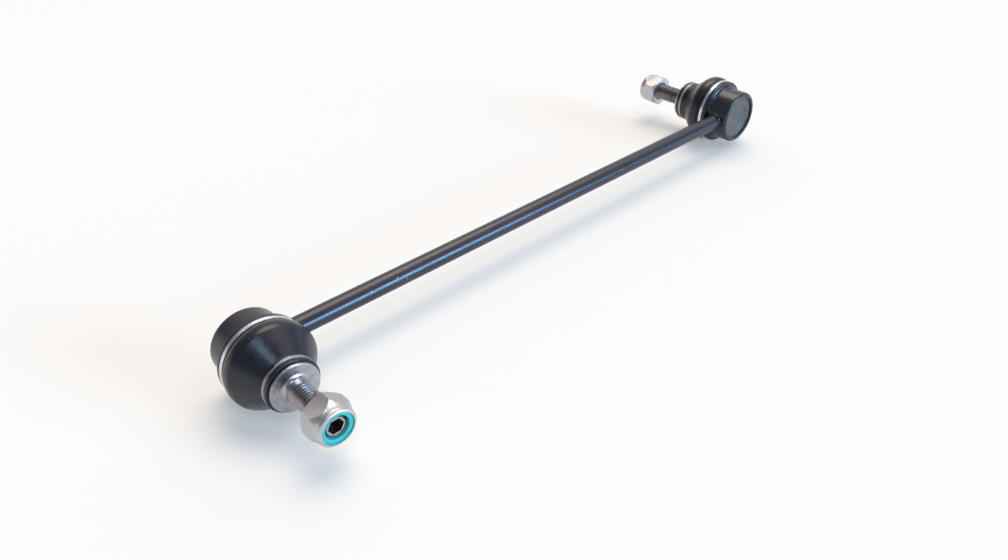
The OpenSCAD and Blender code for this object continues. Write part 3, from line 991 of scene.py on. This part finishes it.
# %% Give each piece its finish
def dress(pieces, material):
    """Gives pieces a finish in place of what they had."""
    for piece in pieces:
        piece.data.materials.clear()
        piece.data.materials.append(material)


nodes = frame["nodes"]
dress([nodes["link_rod"], *housings.values(), *welds.values()], COAT)
dress(plates.values(), PHOSPHATE)
dress(boots, RUBBER)
dress(boot_rings.values(), RING_WIRE)
dress(neck_rings.values(), NECK_WIRE)
dress(studs, STUD_ZINC)
dress(nuts.values(), NUT_ZINC)
dress(inserts.values(), NYLON)
dress([nodes[f"{end}_bearing_shell"] for end in SIDES], ACETAL)

# %% [markdown]
# ## Table
#
# The link lies on a bright white table that fills the picture. For the camera and for mirror-like surfaces
# a part of the table's tone is its own white, through Light Path, so it looks evenly pale while the rest
# still takes the shadow. For all other light it is plain white paint.

# %% Lay the table
TABLE_SIZE, TABLE_WHITE, TABLE_OWN_WHITE = 200, (0.93, 0.93, 0.88), 0.28
TABLE_ROUGH, TABLE_GLOSS = 0.9, 0.1
deselect()
bpy.ops.mesh.primitive_plane_add(size=TABLE_SIZE, location=(0, 0, 0))
table = bpy.context.active_object
table.name = "table"
paint = Finish("white_table")
paint.constant("Base Color", (*TABLE_WHITE, 1))
paint.constant("Roughness", TABLE_ROUGH)
paint.constant("Specular IOR Level", TABLE_GLOSS)
own = paint.nodes.new("ShaderNodeEmission")
own.inputs["Color"].default_value = (1, 1, 1, 1)
rays = paint.nodes.new("ShaderNodeLightPath").outputs
seen = paint.math("MAXIMUM", rays["Is Camera Ray"], rays["Is Glossy Ray"])
blend = paint.nodes.new("ShaderNodeMixShader")
paint.link(paint.math("MULTIPLY", seen, TABLE_OWN_WHITE), blend.inputs["Fac"])
paint.link(paint.shader.outputs["BSDF"], blend.inputs[1])
paint.link(own.outputs["Emission"], blend.inputs[2])
paint.link(blend.outputs["Shader"], paint.nodes["Material Output"].inputs["Surface"])
dress([table], paint.material)
print("table", TABLE_SIZE, "m wide")

# %% [markdown]
# ## Light
#
# The shadows in the photograph lie just in front of the pieces, so the main light is broad, warm and high
# up behind them. A sun lamp with a wide angle does that and lights the table evenly. What glossy pieces
# show tells where the rest is: the blue stripe along the rod is a low window at the front right, the sheen
# on the boot's flank is a cool ceiling, and a pale wall on the right lightens the far plate. These are area
# lamps, far enough away to light the table evenly too.

# %% Set the lamps
MAIN_FROM = Vector((0.352, 0.203, 0.914))
MAIN_ANGLE, MAIN_STRENGTH, WARM = 40, 1.62, (1.0, 0.83, 0.66)
WINDOW_BLUE, COOL, LILAC = (0.32, 0.62, 1.0), (0.52, 0.74, 1.0), (0.95, 0.86, 1.0)
LAMP_DISTANCE = 40


def lamp(name, kind, direction, colour):
    """A lamp far out in a direction, turned to the link and hidden from the camera."""
    light = bpy.data.lights.new(name, kind)
    light.color = colour
    holder = bpy.data.objects.new(name, light)
    bpy.context.scene.collection.objects.link(holder)
    holder.location = direction * LAMP_DISTANCE
    holder.rotation_mode = "QUATERNION"
    holder.rotation_quaternion = (-direction).to_track_quat("-Z", "Y")
    holder.visible_camera = False
    return light


def panel(name, azimuth, elevation, wide, high, brightness, colour):
    """A soft panel, so many degrees wide and high. Its brightness is what a mirror shows of it."""
    turn, lift = radians(azimuth), radians(elevation)
    light = lamp(name, "AREA", Vector((cos(turn) * cos(lift), sin(turn) * cos(lift), sin(lift))), colour)
    light.shape = "RECTANGLE"
    light.size, light.size_y = [2 * LAMP_DISTANCE * tan(radians(angle) / 2) for angle in (wide, high)]
    light.energy = brightness * pi * light.size * light.size_y


main = lamp("main_light", "SUN", MAIN_FROM, WARM)
main.angle = radians(MAIN_ANGLE)
main.energy = MAIN_STRENGTH
panel("window", azimuth=-63.5, elevation=11.5, wide=21, high=22.6, brightness=22, colour=WINDOW_BLUE)
panel("ceiling", azimuth=-115, elevation=61, wide=14.3, high=14.3, brightness=8, colour=COOL)
panel("wall", azimuth=-25, elevation=47, wide=43.6, high=30, brightness=0.9, colour=LILAC)
print("lamps:", [item.name for item in bpy.data.lights])

# %% [markdown]
# ## Room
#
# What the lamps leave open is the room, painted on the world. It is dim, which gives the metal its
# contrast, and bright only behind on the right. Near the horizon a pale band takes over, in which the table
# fades out when it is seen from low down. Both steps are worked out from the direction that a ray looks in.

# %% Paint the room
ROOM_DIM, ROOM_BRIGHT = (0.22, 0.21, 0.235), (0.9, 0.88, 0.88)
BRIGHT_SIDE, BRIGHT_EDGE = (0.683, 0.683, 0.259), 0.33
HORIZON_PALE, HORIZON_FROM, HORIZON_TO = (0.97, 0.965, 0.955), 0.14, 0.22
world = bpy.data.worlds.new("room")
bpy.context.scene.world = world
world.use_nodes = True
room = world.node_tree
direction = room.nodes.new("ShaderNodeTexCoord").outputs["Generated"]
towards = room.nodes.new("ShaderNodeVectorMath")
towards.operation = "DOT_PRODUCT"
towards.inputs[1].default_value = BRIGHT_SIDE
fade = room.nodes.new("ShaderNodeMapRange")
fade.interpolation_type = "SMOOTHSTEP"
fade.inputs["From Min"].default_value = BRIGHT_EDGE
height = room.nodes.new("ShaderNodeSeparateXYZ")
rise = room.nodes.new("ShaderNodeMapRange")
rise.inputs["From Min"].default_value = HORIZON_FROM
rise.inputs["From Max"].default_value = HORIZON_TO
room.links.new(direction, towards.inputs[0])
room.links.new(towards.outputs["Value"], fade.inputs["Value"])
room.links.new(direction, height.inputs["Vector"])
room.links.new(height.outputs["Z"], rise.inputs["Value"])
tone = colour_mix(room, fade.outputs["Result"], ROOM_DIM, ROOM_BRIGHT)
above = colour_mix(room, rise.outputs["Result"], HORIZON_PALE, tone)
room.links.new(above, room.nodes["Background"].inputs["Color"])
bpy.context.scene.view_settings.view_transform = "Standard"
print("room:", len(room.nodes), "nodes")
